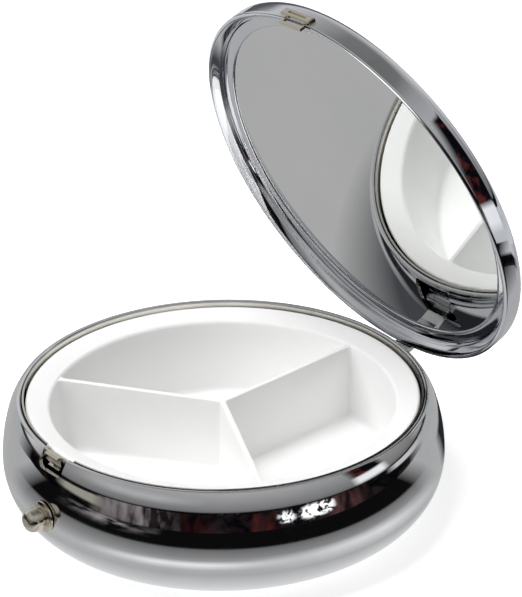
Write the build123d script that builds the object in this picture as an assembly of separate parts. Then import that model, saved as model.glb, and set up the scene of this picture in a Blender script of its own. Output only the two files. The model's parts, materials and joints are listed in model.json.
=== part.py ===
from build123d import *
import math
import os

# Travel pill organizer: a round sprung-latch box with a mirrored lid.
# +Z is up, +Y points to the hinge, -Y to the push button, and the origin is the
# centre of the face that the box rests on. Every length is in millimetres.

# Allowances shared by several pieces
FIT_GAP = 0.02
SEAM_GAP = 0.01
WALL_CUT_R = (20.0, 27.0)
CUT_OVER = 2.0
BORE_HALF = 5.0

# Base shell: three tangent arcs from the flat bottom to the rim
SHEET = 0.4
RIM_Z = 14.2
BULGE_R = 25.05
FOOT_ARC_R = 6.9
SIDE_ARC_R = 18.0
SHOULDER_ARC_R = 6.0
SHOULDER_Z = 12.2
FOOT_C = (BULGE_R - FOOT_ARC_R, FOOT_ARC_R)
SIDE_C = (BULGE_R - SIDE_ARC_R, FOOT_ARC_R)
SIDE_ANGLE = math.degrees(math.asin((SHOULDER_Z - SIDE_C[1]) / SIDE_ARC_R))
SHOULDER_SHIFT = SIDE_ARC_R - SHOULDER_ARC_R
SHOULDER_C = (
    SIDE_C[0] + SHOULDER_SHIFT * math.cos(math.radians(SIDE_ANGLE)),
    SIDE_C[1] + SHOULDER_SHIFT * math.sin(math.radians(SIDE_ANGLE)),
)

# Base ring: the inner wall that carries the hinge and the latch
RING_OUTER_R = 22.64
RING_INNER_R = 22.42
RING_LOW_Z = 2.35
RING_TOP_Z = RIM_Z - 0.05
RIVET_SHANK_IN = 0.45
RIVET_HEAD_IN = (0.65, 0.3)

# Pill tray
TRAY_FLANGE_R = 22.25
TRAY_FLANGE_TOP_Z = 13.75
TRAY_FLANGE_T = 1.1
TRAY_FLANGE_EDGE = 0.2
TRAY_LIP_R = 20.1
TRAY_LIP_Z = 13.25
POCKET_TOP_Z = 12.7
POCKET_TOP_R = 19.5
POCKET_LOW_R = 18.9
POCKET_FLOOR_Z = 4.4
POCKET_CORNER = 0.5
TRAY_WALL_TOP_R = 20.4
TRAY_WALL_LOW_R = 19.6
TRAY_LOW_Z = 0.6
TRAY_LOW_CHAMFER = 0.9
TRAY_RECESS_R = 17.8
TRAY_FLOOR_T = 1.0
DIVIDER_TOP_Z = 13.0
DIVIDER_TOP_T = 0.6
DIVIDER_LOW_T = 1.2
DIVIDER_SINK = 0.2
DIVIDERS = 3
TRAY_TWIST = 92.0

# Hinge
HINGE_Y = 23.08
HINGE_Z = 9.85
LID_OPEN_ANGLE = 71.0
PIN_R = 0.5
PIN_CLEARANCE = 0.05
BARREL_R = 1.05
KNUCKLE_HALF = 1.3
EAR_GAP = 0.1
EAR_T = 1.2
EAR_Y = (22.85, 23.9)
EAR_LEAF_T = 0.48
EAR_LEAF_Z = (3.2, 8.2)
EAR_PLATE_LOW_Z = 7.6
EAR_RIVET_X = 1.7
EAR_RIVET_Z = 4.6
EAR_RIVET_R = 0.45
EAR_RIVET_HEAD_R = 0.8
EAR_RIVET_REACH = 0.86
ARM_LOW_Y = (23.3, 23.72)
ARM_BEND_Z = (12.0, 13.3)
ARM_BEND_OUT_Z = (11.95, 13.15)
ARM_HIGH_Y = (23.6, 24.22)
ARM_TOP_Z = 15.8
BACK_WINDOW_HALF = 2.85
BACK_WINDOW_Z = (8.2, 13.85)
BACK_WINDOW_CORNER = 0.4
RING_WINDOW_HALF = 3.0
RING_WINDOW_Z = (7.6, 11.6)

# Latch and button, turned a little about Z from the line through the hinge
LATCH_TURN = -2.5
NOTCH_HALF = 2.1
NOTCH_DEPTH = 1.9
NOTCH_CORNERS = (0.9, 0.4)
RING_GAP_HALF = 2.5
RING_GAP_LOW_Z = 4.4
LEAF_OUT_Y = -23.25
LEAF_IN_Y = -22.95
LEAF_HALF = 2.0
LEAF_LOW_Z = 5.0
LEAF_SHOULDER_Z = 11.6
TONGUE_RIGHT_X = 1.1
NOSE_X = (-1.35, 0.95)
NOSE_REACH = 0.4
NOSE_Z = (13.9, 14.15)
NOSE_EDGE_T = 0.08
NOSE_TOP_REACH = 0.1
LIP_X = (-0.9, 1.1)
LIP_REACH = 0.3
LIP_Z = (12.62, 12.87)
LIP_BEVEL = 0.1
SPRING_FOOT_T = 0.22
SPRING_FOOT_Z = (2.6, 3.8)
SPRING_BEND_IN = 0.1
SPRING_TOP_DROP = (0.5, 0.4)
SPRING_TOP_IN = 0.05
SPRING_RIVET_X = 1.1
SPRING_RIVET_Z = 3.2
SPRING_RIVET_R = 0.3
SPRING_RIVET_HEAD_R = 0.5
SPRING_RIVET_REACH = 0.51
BUTTON_Z = 7.1
BUTTON_R = 1.35
BUTTON_TIP_Y = -27.5
BUTTON_BACK_Y = -26.0
BUTTON_DOME = 1.0
BUTTON_DOME_R = 0.95
BUTTON_BORE_Y = (-27.0, -22.0)
STEM_R = 0.95
TAIL_R = 0.6
TAIL_END_Y = -22.6
TAIL_BORE_Y = (-24.0, -22.0)
WASHER_R = 1.1
WASHER_T = 0.25
FERRULE_Y = (24.0, 25.38)
FERRULE_SEAT_Y = 25.1
FERRULE_R = 1.45
FERRULE_FLANGE_R = 1.8
FERRULE_BEVEL = (0.05, 0.15)

# Lid, in its closed place: heights are above the mouth plane
MOUTH_Z = 14.3
LID_R = 23.8
SKIRT_H = 1.8
LID_CORNER_R = 1.6
DOME_R = 240.0
FRAME_LIP_R = 23.38
FRAME_EDGE = 0.3
FRAME_T = 0.25
RIDGE_R = 22.5
RIDGE_H = 1.4
RIDGE_EDGE = (0.05, 0.2)
BEZEL_OUT_R = 22.4
BEZEL_IN_R = 21.0
BEZEL_SEAT_R = 21.2
BEZEL_H = (1.45, 1.55)
MIRROR_R = 21.7
MIRROR_H = (1.72, 2.37)
PAD_R = 19.5
PAD_TOP_H = 3.05
CATCH_HALF = 2.4
CATCH_LEG_X = (1.45, 1.8)
CATCH_BAR_Z = (13.5, 13.85)
CATCH_R = (23.38, 23.7)
CATCH_BRIDGE_Z = (MOUTH_Z + 0.5, MOUTH_Z + 0.8)
CATCH_WELD = 0.1
CATCH_PAD_R = 24.2
CATCH_PAD_Z = (MOUTH_Z + 0.15, MOUTH_Z + 1.15)
CATCH_PAD_CORNER = 0.2
CATCH_GROOVE_HALF = 1.5
CATCH_GROOVE_Z = (MOUTH_Z + 0.5, MOUTH_Z + 0.78)
CATCH_GROOVE_R = 24.02


def point_on(centre, radius, degrees):
    """Point of an arc in the radius-height plane."""
    angle = math.radians(degrees)
    return (centre[0] + radius * math.cos(angle), centre[1] + radius * math.sin(angle))


def arc(centre, radius, start, end):
    """Arc from one angle to another, through its own middle."""
    middle = (start + end) / 2
    ends = [point_on(centre, radius, degrees) for degrees in (start, middle, end)]
    return ThreePointArc(*ends)


def spin(*edges):
    """Turn a closed radius-height outline about Z."""
    outline = Plane.XZ * make_face(Wire(list(edges)))
    return revolve(outline, Axis.Z, 360)


def spin_points(points):
    """Turn a closed outline of straight sides about Z."""
    return revolve(Plane.XZ * make_face(Polyline(*points, close=True)), Axis.Z, 360)


def tube(outer, inner, low, high):
    """Upright ring with square edges."""
    return spin_points([(inner, low), (outer, low), (outer, high), (inner, high)])


def block(x, y, z):
    """Box between the two values given on each axis."""
    size = [high - low for low, high in (x, y, z)]
    middle = [(high + low) / 2 for low, high in (x, y, z)]
    return Pos(*middle) * Box(*size)


def rod_x(radius, half, y, z):
    """Cylinder along X, centred on x = 0."""
    return Pos(0, y, z) * Rot(0, 90, 0) * Cylinder(radius, 2 * half)


def rod_y(radius, start, end, x, z):
    """Cylinder along Y between two Y values."""
    return Pos(x, (start + end) / 2, z) * Rot(90, 0, 0) * Cylinder(radius, end - start)


def open_lid(solid):
    """Swing a lid piece from its closed place to the place it rests in."""
    axis = Axis((0, HINGE_Y, HINGE_Z), (-1, 0, 0))
    return solid.rotate(axis, LID_OPEN_ANGLE)


def at_latch(solid):
    """Turn something drawn on the -Y axis to where the latch is."""
    return Rot(0, 0, LATCH_TURN) * solid


def save(name, solid):
    os.makedirs("parts", exist_ok=True)
    solid.label = name
    export_step(solid, f"parts/{name}.step")


def bowl(inset):
    """Solid inside the base's outer surface moved in by inset, closed at the rim."""
    foot_r = FOOT_ARC_R - inset
    side_r = SIDE_ARC_R - inset
    shoulder_r = SHOULDER_ARC_R - inset
    rim_angle = math.degrees(math.asin((RIM_Z - SHOULDER_C[1]) / shoulder_r))
    foot = point_on(FOOT_C, foot_r, -90)
    rim = point_on(SHOULDER_C, shoulder_r, rim_angle)
    return spin(
        Line((0, foot[1]), foot),
        arc(FOOT_C, foot_r, -90, 0),
        arc(SIDE_C, side_r, 0, SIDE_ANGLE),
        arc(SHOULDER_C, shoulder_r, SIDE_ANGLE, rim_angle),
        Line(rim, (0, RIM_Z)),
        Line((0, RIM_Z), (0, foot[1])),
    )


def front_notch():
    """Cut in the rim where the lid's catch drops in, with round lower corners."""
    low = RIM_Z - NOTCH_DEPTH
    front = (-WALL_CUT_R[1], -WALL_CUT_R[0])
    cut = block((-NOTCH_HALF, NOTCH_HALF), front, (low, RIM_Z + CUT_OVER))
    corners = cut.edges().filter_by(Axis.Y).group_by(Axis.Z)[0].sort_by(Axis.X)
    cut = fillet(corners[0], NOTCH_CORNERS[0])
    corners = cut.edges().filter_by(Axis.Y).group_by(Axis.Z)[0].sort_by(Axis.X)
    return at_latch(fillet(corners[-1], NOTCH_CORNERS[1]))


def back_window(half, z):
    """Window at the hinge that the knuckle arm swings in."""
    return block((-half, half), WALL_CUT_R, z)


def base_shell():
    shell = bowl(0) - bowl(SHEET)
    shell -= front_notch()
    window = back_window(BACK_WINDOW_HALF, BACK_WINDOW_Z)
    shell -= fillet(window.edges().filter_by(Axis.Y), BACK_WINDOW_CORNER)
    return shell - at_latch(rod_y(FERRULE_R, *BUTTON_BORE_Y, 0, BUTTON_Z))


def rivet_pair(x, z, body_r, head_r, reach):
    """Two rivets through the base ring on the +Y side, flat heads inside."""
    shank = rod_y(body_r, RING_INNER_R - RIVET_SHANK_IN, RING_OUTER_R + reach, 0, z)
    head_y = [RING_INNER_R - inset for inset in RIVET_HEAD_IN]
    head = rod_y(head_r, *head_y, 0, z)
    return [Pos(side * x, 0, 0) * (shank + head) for side in (-1, 1)]


def ear_rivets():
    """Two rivets that hold the hinge ears to the base ring."""
    sizes = (EAR_RIVET_R, EAR_RIVET_HEAD_R, EAR_RIVET_REACH)
    return Compound(children=rivet_pair(EAR_RIVET_X, EAR_RIVET_Z, *sizes))


def spring_rivets():
    """Two rivets that hold the leaf spring's foot to the base ring."""
    sizes = (SPRING_RIVET_R, SPRING_RIVET_HEAD_R, SPRING_RIVET_REACH)
    rivets = rivet_pair(SPRING_RIVET_X, SPRING_RIVET_Z, *sizes)
    return Compound(children=[at_latch(Rot(0, 0, 180) * rivet) for rivet in rivets])


def base_ring():
    """Thin inner wall, pierced at the hinge and cut away around the latch leaf."""
    ring = tube(RING_OUTER_R, RING_INNER_R, RING_LOW_Z, RING_TOP_Z)
    ring -= back_window(RING_WINDOW_HALF, RING_WINDOW_Z)
    front = (-WALL_CUT_R[1], -WALL_CUT_R[0])
    gap_z = (RING_GAP_LOW_Z, RIM_Z + CUT_OVER)
    ring -= at_latch(block((-RING_GAP_HALF, RING_GAP_HALF), front, gap_z))
    ring -= ear_rivets()
    return ring - spring_rivets()


def pill_tray():
    """Round insert on a foot ring, with a flange and three equal compartments."""
    flange_low = TRAY_FLANGE_TOP_Z - TRAY_FLANGE_T
    recess_z = POCKET_FLOOR_Z - TRAY_FLOOR_T
    tray = spin_points([
        (0, recess_z),
        (TRAY_RECESS_R, recess_z),
        (TRAY_RECESS_R, TRAY_LOW_Z),
        (TRAY_WALL_LOW_R - TRAY_LOW_CHAMFER, TRAY_LOW_Z),
        (TRAY_WALL_LOW_R, TRAY_LOW_Z + TRAY_LOW_CHAMFER),
        (TRAY_WALL_TOP_R, flange_low),
        (TRAY_FLANGE_R, flange_low),
        (TRAY_FLANGE_R, TRAY_FLANGE_TOP_Z - TRAY_FLANGE_EDGE),
        (TRAY_FLANGE_R - TRAY_FLANGE_EDGE, TRAY_FLANGE_TOP_Z),
        (0, TRAY_FLANGE_TOP_Z),
    ])
    hollow = spin_points([
        (0, POCKET_FLOOR_Z),
        (POCKET_LOW_R - POCKET_CORNER, POCKET_FLOOR_Z),
        (POCKET_LOW_R, POCKET_FLOOR_Z + POCKET_CORNER),
        (POCKET_TOP_R, POCKET_TOP_Z),
        (TRAY_LIP_R, TRAY_LIP_Z),
        (TRAY_FLANGE_R - TRAY_FLANGE_EDGE, TRAY_FLANGE_TOP_Z),
        (0, TRAY_FLANGE_TOP_Z),
    ])
    low_z = POCKET_FLOOR_Z - DIVIDER_SINK
    section = make_face(Polyline(
        (-DIVIDER_LOW_T / 2, low_z),
        (DIVIDER_LOW_T / 2, low_z),
        (DIVIDER_TOP_T / 2, DIVIDER_TOP_Z),
        (-DIVIDER_TOP_T / 2, DIVIDER_TOP_Z),
        close=True,
    ))
    divider = extrude(Plane.XZ * section, -TRAY_FLANGE_R)
    for index in range(DIVIDERS):
        hollow -= Rot(0, 0, TRAY_TWIST - 90 + 360 / DIVIDERS * index) * divider
    return tray - hollow


def button_ferrule():
    """Flanged collar in the shell that the button's stem slides in."""
    bore_r = STEM_R + PIN_CLEARANCE
    outline = make_face(Polyline(
        (bore_r, FERRULE_Y[0]),
        (FERRULE_R, FERRULE_Y[0]),
        (FERRULE_R, FERRULE_SEAT_Y),
        (FERRULE_FLANGE_R, FERRULE_SEAT_Y),
        (FERRULE_FLANGE_R - FERRULE_BEVEL[0], FERRULE_SEAT_Y + FERRULE_BEVEL[1]),
        (FERRULE_R, FERRULE_Y[1]),
        (bore_r, FERRULE_Y[1]),
        close=True,
    ))
    collar = revolve(outline, Axis.Y, 360)
    return at_latch(Pos(0, 0, BUTTON_Z) * Rot(0, 0, 180) * collar)


def push_button():
    """Domed head on a stem, with a thin tail peened over behind the latch leaf."""
    dome_start = BUTTON_TIP_Y + BUTTON_DOME
    head = rod_y(BUTTON_R, dome_start, BUTTON_BACK_Y, 0, BUTTON_Z)
    stem = rod_y(STEM_R, BUTTON_BACK_Y, LEAF_OUT_Y, 0, BUTTON_Z)
    tip = Pos(0, dome_start, BUTTON_Z) * Rot(90, 0, 0) * Cylinder(
        BUTTON_R, BUTTON_DOME, align=(Align.CENTER, Align.CENTER, Align.MIN)
    )
    tip = fillet(tip.edges().group_by(Axis.Y)[0], BUTTON_DOME_R)
    tail = rod_y(TAIL_R, LEAF_OUT_Y, TAIL_END_Y, 0, BUTTON_Z)
    return at_latch(head + stem + tip + tail)


def tail_washer():
    """Washer between the latch leaf and the peened end of the button's tail."""
    washer = rod_y(WASHER_R, LEAF_IN_Y, LEAF_IN_Y + WASHER_T, 0, BUTTON_Z)
    return at_latch(washer - rod_y(TAIL_R, *TAIL_BORE_Y, 0, BUTTON_Z))


def latch_hook():
    """Upright leaf ending in a tongue with a hooked top and a folded lip."""
    leaf_y = (LEAF_OUT_Y, LEAF_IN_Y)
    leaf = block((-LEAF_HALF, LEAF_HALF), leaf_y, (LEAF_LOW_Z, LEAF_SHOULDER_Z))
    tongue_x = (-LEAF_HALF, TONGUE_RIGHT_X)
    leaf += block(tongue_x, leaf_y, (LEAF_SHOULDER_Z, NOSE_Z[1]))
    nose = make_face(Polyline(
        (LEAF_OUT_Y, NOSE_Z[0]),
        (LEAF_OUT_Y - NOSE_REACH, NOSE_Z[0]),
        (LEAF_OUT_Y - NOSE_REACH, NOSE_Z[0] + NOSE_EDGE_T),
        (LEAF_OUT_Y - NOSE_TOP_REACH, NOSE_Z[1]),
        (LEAF_OUT_Y, NOSE_Z[1]),
        close=True,
    ))
    lip = make_face(Polyline(
        (LEAF_OUT_Y, LIP_Z[0]),
        (LEAF_OUT_Y - LIP_REACH + LIP_BEVEL, LIP_Z[0]),
        (LEAF_OUT_Y - LIP_REACH, LIP_Z[0] + LIP_BEVEL),
        (LEAF_OUT_Y, LIP_Z[1]),
        close=True,
    ))
    for section, x in ((nose, NOSE_X), (lip, LIP_X)):
        leaf += Pos(x[0], 0, 0) * extrude(Plane.YZ * section, x[1] - x[0])
    return at_latch(leaf - rod_y(TAIL_R, *TAIL_BORE_Y, 0, BUTTON_Z))


def latch_spring():
    """Leaf spring below the latch, from its riveted foot to the latch leaf."""
    foot_in = RING_OUTER_R + FIT_GAP
    section = make_face(Polyline(
        (foot_in, SPRING_FOOT_Z[0]),
        (foot_in + SPRING_FOOT_T, SPRING_FOOT_Z[0]),
        (foot_in + SPRING_FOOT_T, SPRING_FOOT_Z[1]),
        (-LEAF_OUT_Y, LEAF_LOW_Z - SPRING_TOP_DROP[0]),
        (-LEAF_OUT_Y, LEAF_LOW_Z),
        (-LEAF_IN_Y, LEAF_LOW_Z),
        (-LEAF_IN_Y - SPRING_TOP_IN, LEAF_LOW_Z - SPRING_TOP_DROP[1]),
        (foot_in, SPRING_FOOT_Z[1] + SPRING_BEND_IN),
        close=True,
    ))
    strip = extrude(Plane.YZ * section, LEAF_HALF, both=True)
    return at_latch(Rot(0, 0, 180) * strip) - spring_rivets()


def hinge_ears():
    """Base half of the hinge: a curved leaf with two ears for the pin."""
    leaf_in = RING_OUTER_R + FIT_GAP
    leaf = tube(leaf_in + EAR_LEAF_T, leaf_in, *EAR_LEAF_Z)
    ear_out = KNUCKLE_HALF + EAR_GAP + EAR_T
    height = (EAR_LEAF_Z[0] - CUT_OVER, EAR_LEAF_Z[1] + CUT_OVER)
    leaf &= block((-ear_out, ear_out), WALL_CUT_R, height)
    ears = leaf - ear_rivets()
    for side in (-1, 1):
        middle = side * (KNUCKLE_HALF + EAR_GAP + EAR_T / 2)
        sides = (middle - EAR_T / 2, middle + EAR_T / 2)
        ears += block(sides, EAR_Y, (EAR_PLATE_LOW_Z, HINGE_Z))
        ears += Pos(middle, HINGE_Y, HINGE_Z) * Rot(0, 90, 0) * Cylinder(BARREL_R, EAR_T)
    return ears - rod_x(PIN_R, BORE_HALF, HINGE_Y, HINGE_Z)


def hinge_pin():
    """Pin held in both ears, with the knuckle turning on it."""
    half = KNUCKLE_HALF + EAR_GAP + EAR_T
    return rod_x(PIN_R, half, HINGE_Y, HINGE_Z)


def lid_knuckle():
    """Lid half of the hinge: a barrel on the pin and a strap up the lid's skirt."""
    strap = extrude(Plane.YZ * make_face(Polyline(
        (ARM_LOW_Y[0], HINGE_Z),
        (ARM_LOW_Y[0], ARM_BEND_Z[0]),
        (ARM_HIGH_Y[0], ARM_BEND_Z[1]),
        (ARM_HIGH_Y[0], ARM_TOP_Z),
        (ARM_HIGH_Y[1], ARM_TOP_Z),
        (ARM_HIGH_Y[1], ARM_BEND_OUT_Z[1]),
        (ARM_LOW_Y[1], ARM_BEND_OUT_Z[0]),
        (ARM_LOW_Y[1], HINGE_Z),
        close=True,
    )), KNUCKLE_HALF, both=True)
    strap -= tube(LID_R + SEAM_GAP, 0, MOUTH_Z - FIT_GAP, ARM_TOP_Z + CUT_OVER)
    barrel = rod_x(BARREL_R, KNUCKLE_HALF, HINGE_Y, HINGE_Z)
    return strap + barrel - rod_x(PIN_R + PIN_CLEARANCE, BORE_HALF, HINGE_Y, HINGE_Z)


def cap(inset):
    """Solid inside the lid's outer surface moved in by inset, open side down."""
    skirt_r = LID_R - inset
    corner_r = LID_CORNER_R - inset
    dome_r = DOME_R - inset
    corner_c = (LID_R - LID_CORNER_R, MOUTH_Z + SKIRT_H)
    dome_angle = math.degrees(math.acos(corner_c[0] / (DOME_R - LID_CORNER_R)))
    centre_z = corner_c[1] - (DOME_R - LID_CORNER_R) * math.sin(math.radians(dome_angle))
    dome_c = (0, centre_z)
    return spin(
        Line((0, MOUTH_Z), (skirt_r, MOUTH_Z)),
        Line((skirt_r, MOUTH_Z), (skirt_r, corner_c[1])),
        arc(corner_c, corner_r, 0, dome_angle),
        arc(dome_c, dome_r, dome_angle, 90),
        Line((0, centre_z + dome_r), (0, MOUTH_Z)),
    )


def lid_shell():
    shell = cap(0) - cap(SHEET)
    return shell - lid_catch()


def lid_frame():
    """Sloping flange from the lid's mouth in to a sharp ridge."""
    low = MOUTH_Z
    frame = spin_points([
        (FRAME_LIP_R, low),
        (FRAME_LIP_R, low + FRAME_EDGE),
        (RIDGE_R + RIDGE_EDGE[0], low + RIDGE_H + FRAME_T),
        (RIDGE_R, low + RIDGE_H + RIDGE_EDGE[1]),
        (RIDGE_R, low + RIDGE_H),
        (FRAME_LIP_R - FRAME_EDGE, low),
    ])
    return frame - lid_catch()


def lid_bezel():
    """Narrow ring between the ridge and the mirror, which holds the glass in."""
    seat_z = MOUTH_Z + MIRROR_H[0] - SEAM_GAP
    return spin_points([
        (BEZEL_OUT_R, MOUTH_Z + BEZEL_H[0]),
        (BEZEL_OUT_R, MOUTH_Z + BEZEL_H[0] + FRAME_T),
        (BEZEL_SEAT_R, seat_z),
        (BEZEL_IN_R, seat_z),
        (BEZEL_IN_R, MOUTH_Z + BEZEL_H[1]),
    ])


def mirror():
    return tube(MIRROR_R, 0, MOUTH_Z + MIRROR_H[0], MOUTH_Z + MIRROR_H[1])


def mirror_pad():
    """Card disc that keeps the mirror tight against its bezel."""
    return tube(PAD_R, 0, MOUTH_Z + MIRROR_H[1] + SEAM_GAP, MOUTH_Z + PAD_TOP_H)


def lid_catch():
    """Low staple below the mouth for the hook, under a grooved outer tab."""
    radial = (-CATCH_R[1], -CATCH_R[0])
    bar_x = (-CATCH_LEG_X[1], CATCH_LEG_X[1])
    catch = block(bar_x, radial, CATCH_BAR_Z)
    for side in (-1, 1):
        x = sorted(side * edge for edge in CATCH_LEG_X)
        catch += block(x, radial, (CATCH_BAR_Z[0], CATCH_BRIDGE_Z[1]))
    catch += block(bar_x, (-LID_R - CATCH_WELD, radial[1]), CATCH_BRIDGE_Z)
    pad = block((-CATCH_HALF, CATCH_HALF), (-CATCH_PAD_R, -WALL_CUT_R[0]), CATCH_PAD_Z)
    pad = fillet(pad.edges().group_by(Axis.Y)[0], CATCH_PAD_CORNER)
    pad -= tube(LID_R + SEAM_GAP, 0, MOUTH_Z - CUT_OVER, MOUTH_Z + CUT_OVER)
    groove = (-CATCH_GROOVE_HALF, CATCH_GROOVE_HALF)
    pad -= block(groove, (-WALL_CUT_R[1], -CATCH_GROOVE_R), CATCH_GROOVE_Z)
    return at_latch(catch + pad)


BASE_PIECES = {
    "base_shell": base_shell,
    "base_ring": base_ring,
    "pill_tray": pill_tray,
    "push_button": push_button,
    "button_ferrule": button_ferrule,
    "tail_washer": tail_washer,
    "latch_hook": latch_hook,
    "latch_spring": latch_spring,
    "spring_rivets": spring_rivets,
    "hinge_ears": hinge_ears,
    "ear_rivets": ear_rivets,
    "hinge_pin": hinge_pin,
}
LID_PIECES = {
    "lid_knuckle": lid_knuckle,
    "lid_shell": lid_shell,
    "lid_frame": lid_frame,
    "lid_bezel": lid_bezel,
    "mirror": mirror,
    "mirror_pad": mirror_pad,
    "lid_catch": lid_catch,
}

for node, make in BASE_PIECES.items():
    save(node, make())
for node, make in LID_PIECES.items():
    save(node, open_lid(make()))
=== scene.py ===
import json
import math
import bpy
import bmesh
from mathutils import Matrix, Vector


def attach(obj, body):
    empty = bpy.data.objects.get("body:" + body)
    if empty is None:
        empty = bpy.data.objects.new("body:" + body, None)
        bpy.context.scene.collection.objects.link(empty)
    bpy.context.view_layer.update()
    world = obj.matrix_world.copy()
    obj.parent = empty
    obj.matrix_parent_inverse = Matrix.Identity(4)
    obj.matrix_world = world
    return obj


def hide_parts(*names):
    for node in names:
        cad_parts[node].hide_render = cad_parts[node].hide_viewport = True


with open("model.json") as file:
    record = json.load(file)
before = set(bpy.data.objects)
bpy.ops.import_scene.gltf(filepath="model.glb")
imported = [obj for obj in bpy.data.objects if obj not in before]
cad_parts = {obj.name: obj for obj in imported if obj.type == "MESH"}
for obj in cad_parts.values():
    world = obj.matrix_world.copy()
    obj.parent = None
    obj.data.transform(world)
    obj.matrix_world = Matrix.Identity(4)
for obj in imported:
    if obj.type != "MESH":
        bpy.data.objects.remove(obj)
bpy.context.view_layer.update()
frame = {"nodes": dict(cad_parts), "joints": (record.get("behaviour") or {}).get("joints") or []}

# Everything below is drawn in millimetres and scaled to metres by MM.
MM = 0.001
AROUND = 256
FINE_AROUND = 360
SHARP_ANGLE = 35
SOFT_ANGLE = 50
JOINTS = {joint["name"]: joint for joint in frame["joints"]}
LID_JOINT = JOINTS["lid_hinge"]
HINGE = Vector(LID_JOINT["pos_m"]) / MM
LID_OPEN = -LID_JOINT["range_deg"][0]

# Base shell: three tangent arcs, foot, side and shoulder
SHEET = 0.4
RIM_Z = 14.2
BULGE_R = 25.05
FOOT_R, SIDE_R, SHOULDER_R = 6.9, 18.0, 6.0
SHOULDER_Z = 12.2
FOOT_C = (BULGE_R - FOOT_R, FOOT_R)
SIDE_C = (BULGE_R - SIDE_R, FOOT_R)
SIDE_ANGLE = math.asin((SHOULDER_Z - FOOT_R) / SIDE_R)
SHOULDER_C = (
    SIDE_C[0] + (SIDE_R - SHOULDER_R) * math.cos(SIDE_ANGLE),
    SIDE_C[1] + (SIDE_R - SHOULDER_R) * math.sin(SIDE_ANGLE),
)
RIM_ROUND = 0.12
FLOOR_RINGS = (0.0, 6.0, 12.0, 16.0)

# Openings in the base shell: the latch notch, the hinge slot and the button's hole
LATCH_TURN = math.radians(-2.5)
NOTCH_HALF, NOTCH_DEPTH = 2.1, 1.9
NOTCH_RIGHT_R, NOTCH_LEFT_R = 0.4, 0.9
SLOT_HALF, SLOT_Z, SLOT_CORNER = 2.85, (8.2, 13.85), 0.4
BUTTON_HOLE_R, BUTTON_HOLE_Z, BUTTON_HOLE_Y = 1.44, 7.1, -24.5
BUTTON_HOLE_LENGTH = 6
CUT_ABOVE = 3
CUT_REACH = (20, 27)

# Lid, drawn closed and then swung open
MOUTH_Z = 14.3
LID_R = 23.8
SKIRT_H = 1.8
LID_CORNER_R = 1.6
DOME_R = 240.0
FRAME_LIP_R = 23.38
RIDGE_R, RIDGE_H = 22.5, 1.4
BEZEL_OUT_R, BEZEL_IN_R = 22.4, 21.0
MIRROR_R = 21.7
MIRROR_H = (1.72, 2.37)

# Tray
TRAY_R = 22.25
TRAY_TOP_Z = 13.75
FLANGE_T = 1.1
LIP_R, LIP_Z = 20.1, 13.25
POCKET_TOP_Z = 12.7
POCKET_TOP_R, POCKET_LOW_R = 19.5, 18.9
TRAY_LOW_Z, POCKET_FLOOR_Z = 0.6, 4.4
POCKET_CORNER = 0.5
RECESS_R, RECESS_Z = 17.8, 3.4
DIVIDER_Z = 13.0
DIVIDER_TOP, DIVIDER_LOW = 0.6, 1.2
DIVIDER_EDGE = 0.13
POCKET_APEX_R, POCKET_SIDE_R = 0.3, 0.45
FLANGE_EDGE = 0.3
LIP_GAP = 0.02
TRAY_AROUND = 240
WALL_STEPS, RIM_STEPS = 14, 48
TRAY_TWIST = math.radians(92)


# ---------------------------------------------------------------- mesh helpers

def arc(centre, radius, start, end, steps):
    """Points of an arc in the radius-height plane; angles in radians."""
    points = []
    for step in range(steps + 1):
        angle = start + (end - start) * step / steps
        points.append((centre[0] + radius * math.cos(angle), centre[1] + radius * math.sin(angle)))
    return points


def make_object(name, bm, sharp=SHARP_ANGLE):
    """Finish a bmesh into a smooth-shaded object in metres."""
    bmesh.ops.remove_doubles(bm, verts=bm.verts, dist=1e-6)
    bmesh.ops.recalc_face_normals(bm, faces=bm.faces)
    mesh = bpy.data.meshes.new(name)
    bm.to_mesh(mesh)
    bm.free()
    mesh.polygons.foreach_set("use_smooth", [True] * len(mesh.polygons))
    mesh.set_sharp_from_angle(angle=math.radians(sharp))
    obj = bpy.data.objects.new(name, mesh)
    bpy.context.scene.collection.objects.link(obj)
    return obj


def lathe_bmesh(outline, steps=AROUND):
    """Turn an outline of (radius, height) points about Z. It closes on itself or on the axis."""
    bm = bmesh.new()
    rings = []
    for radius, height in outline:
        if radius < 1e-6:
            rings.append([bm.verts.new((0, 0, height * MM))])
            continue
        ring = []
        for step in range(steps):
            angle = 2 * math.pi * step / steps
            x, y = radius * math.cos(angle) * MM, radius * math.sin(angle) * MM
            ring.append(bm.verts.new((x, y, height * MM)))
        rings.append(ring)
    on_axis = len(rings[0]) == 1 and len(rings[-1]) == 1
    pairs = list(zip(rings, rings[1:]))
    if not on_axis:
        pairs.append((rings[-1], rings[0]))
    for low, high in pairs:
        for step in range(steps):
            after = (step + 1) % steps
            corners = [low[step % len(low)], low[after % len(low)]]
            corners += [high[after % len(high)], high[step % len(high)]]
            unique = list(dict.fromkeys(corners))
            if len(unique) > 2:
                bm.faces.new(unique)
    return bm


def lathe(name, outline, steps=AROUND, sharp=SHARP_ANGLE):
    return make_object(name, lathe_bmesh(outline, steps), sharp)


def prism(name, profile, start, end):
    """Outline of (x, z) points carried along Y between two values."""
    bm = bmesh.new()
    near, far = ([bm.verts.new((x * MM, y * MM, z * MM)) for x, z in profile] for y in (start, end))
    bm.faces.new(near)
    bm.faces.new(far[::-1])
    for index in range(len(profile)):
        after = (index + 1) % len(profile)
        bm.faces.new((near[index], far[index], far[after], near[after]))
    return make_object(name, bm)


def rounded_rectangle(half, low, high, corner):
    """Outline of (x, z) points between -half..half and low..high."""
    points = []
    for x, z, start in (
        (half - corner, low + corner, -90), (half - corner, high - corner, 0),
        (corner - half, high - corner, 90), (corner - half, low + corner, 180),
    ):
        points += arc((x, z), corner, math.radians(start), math.radians(start + 90), 6)
    return points


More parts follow.
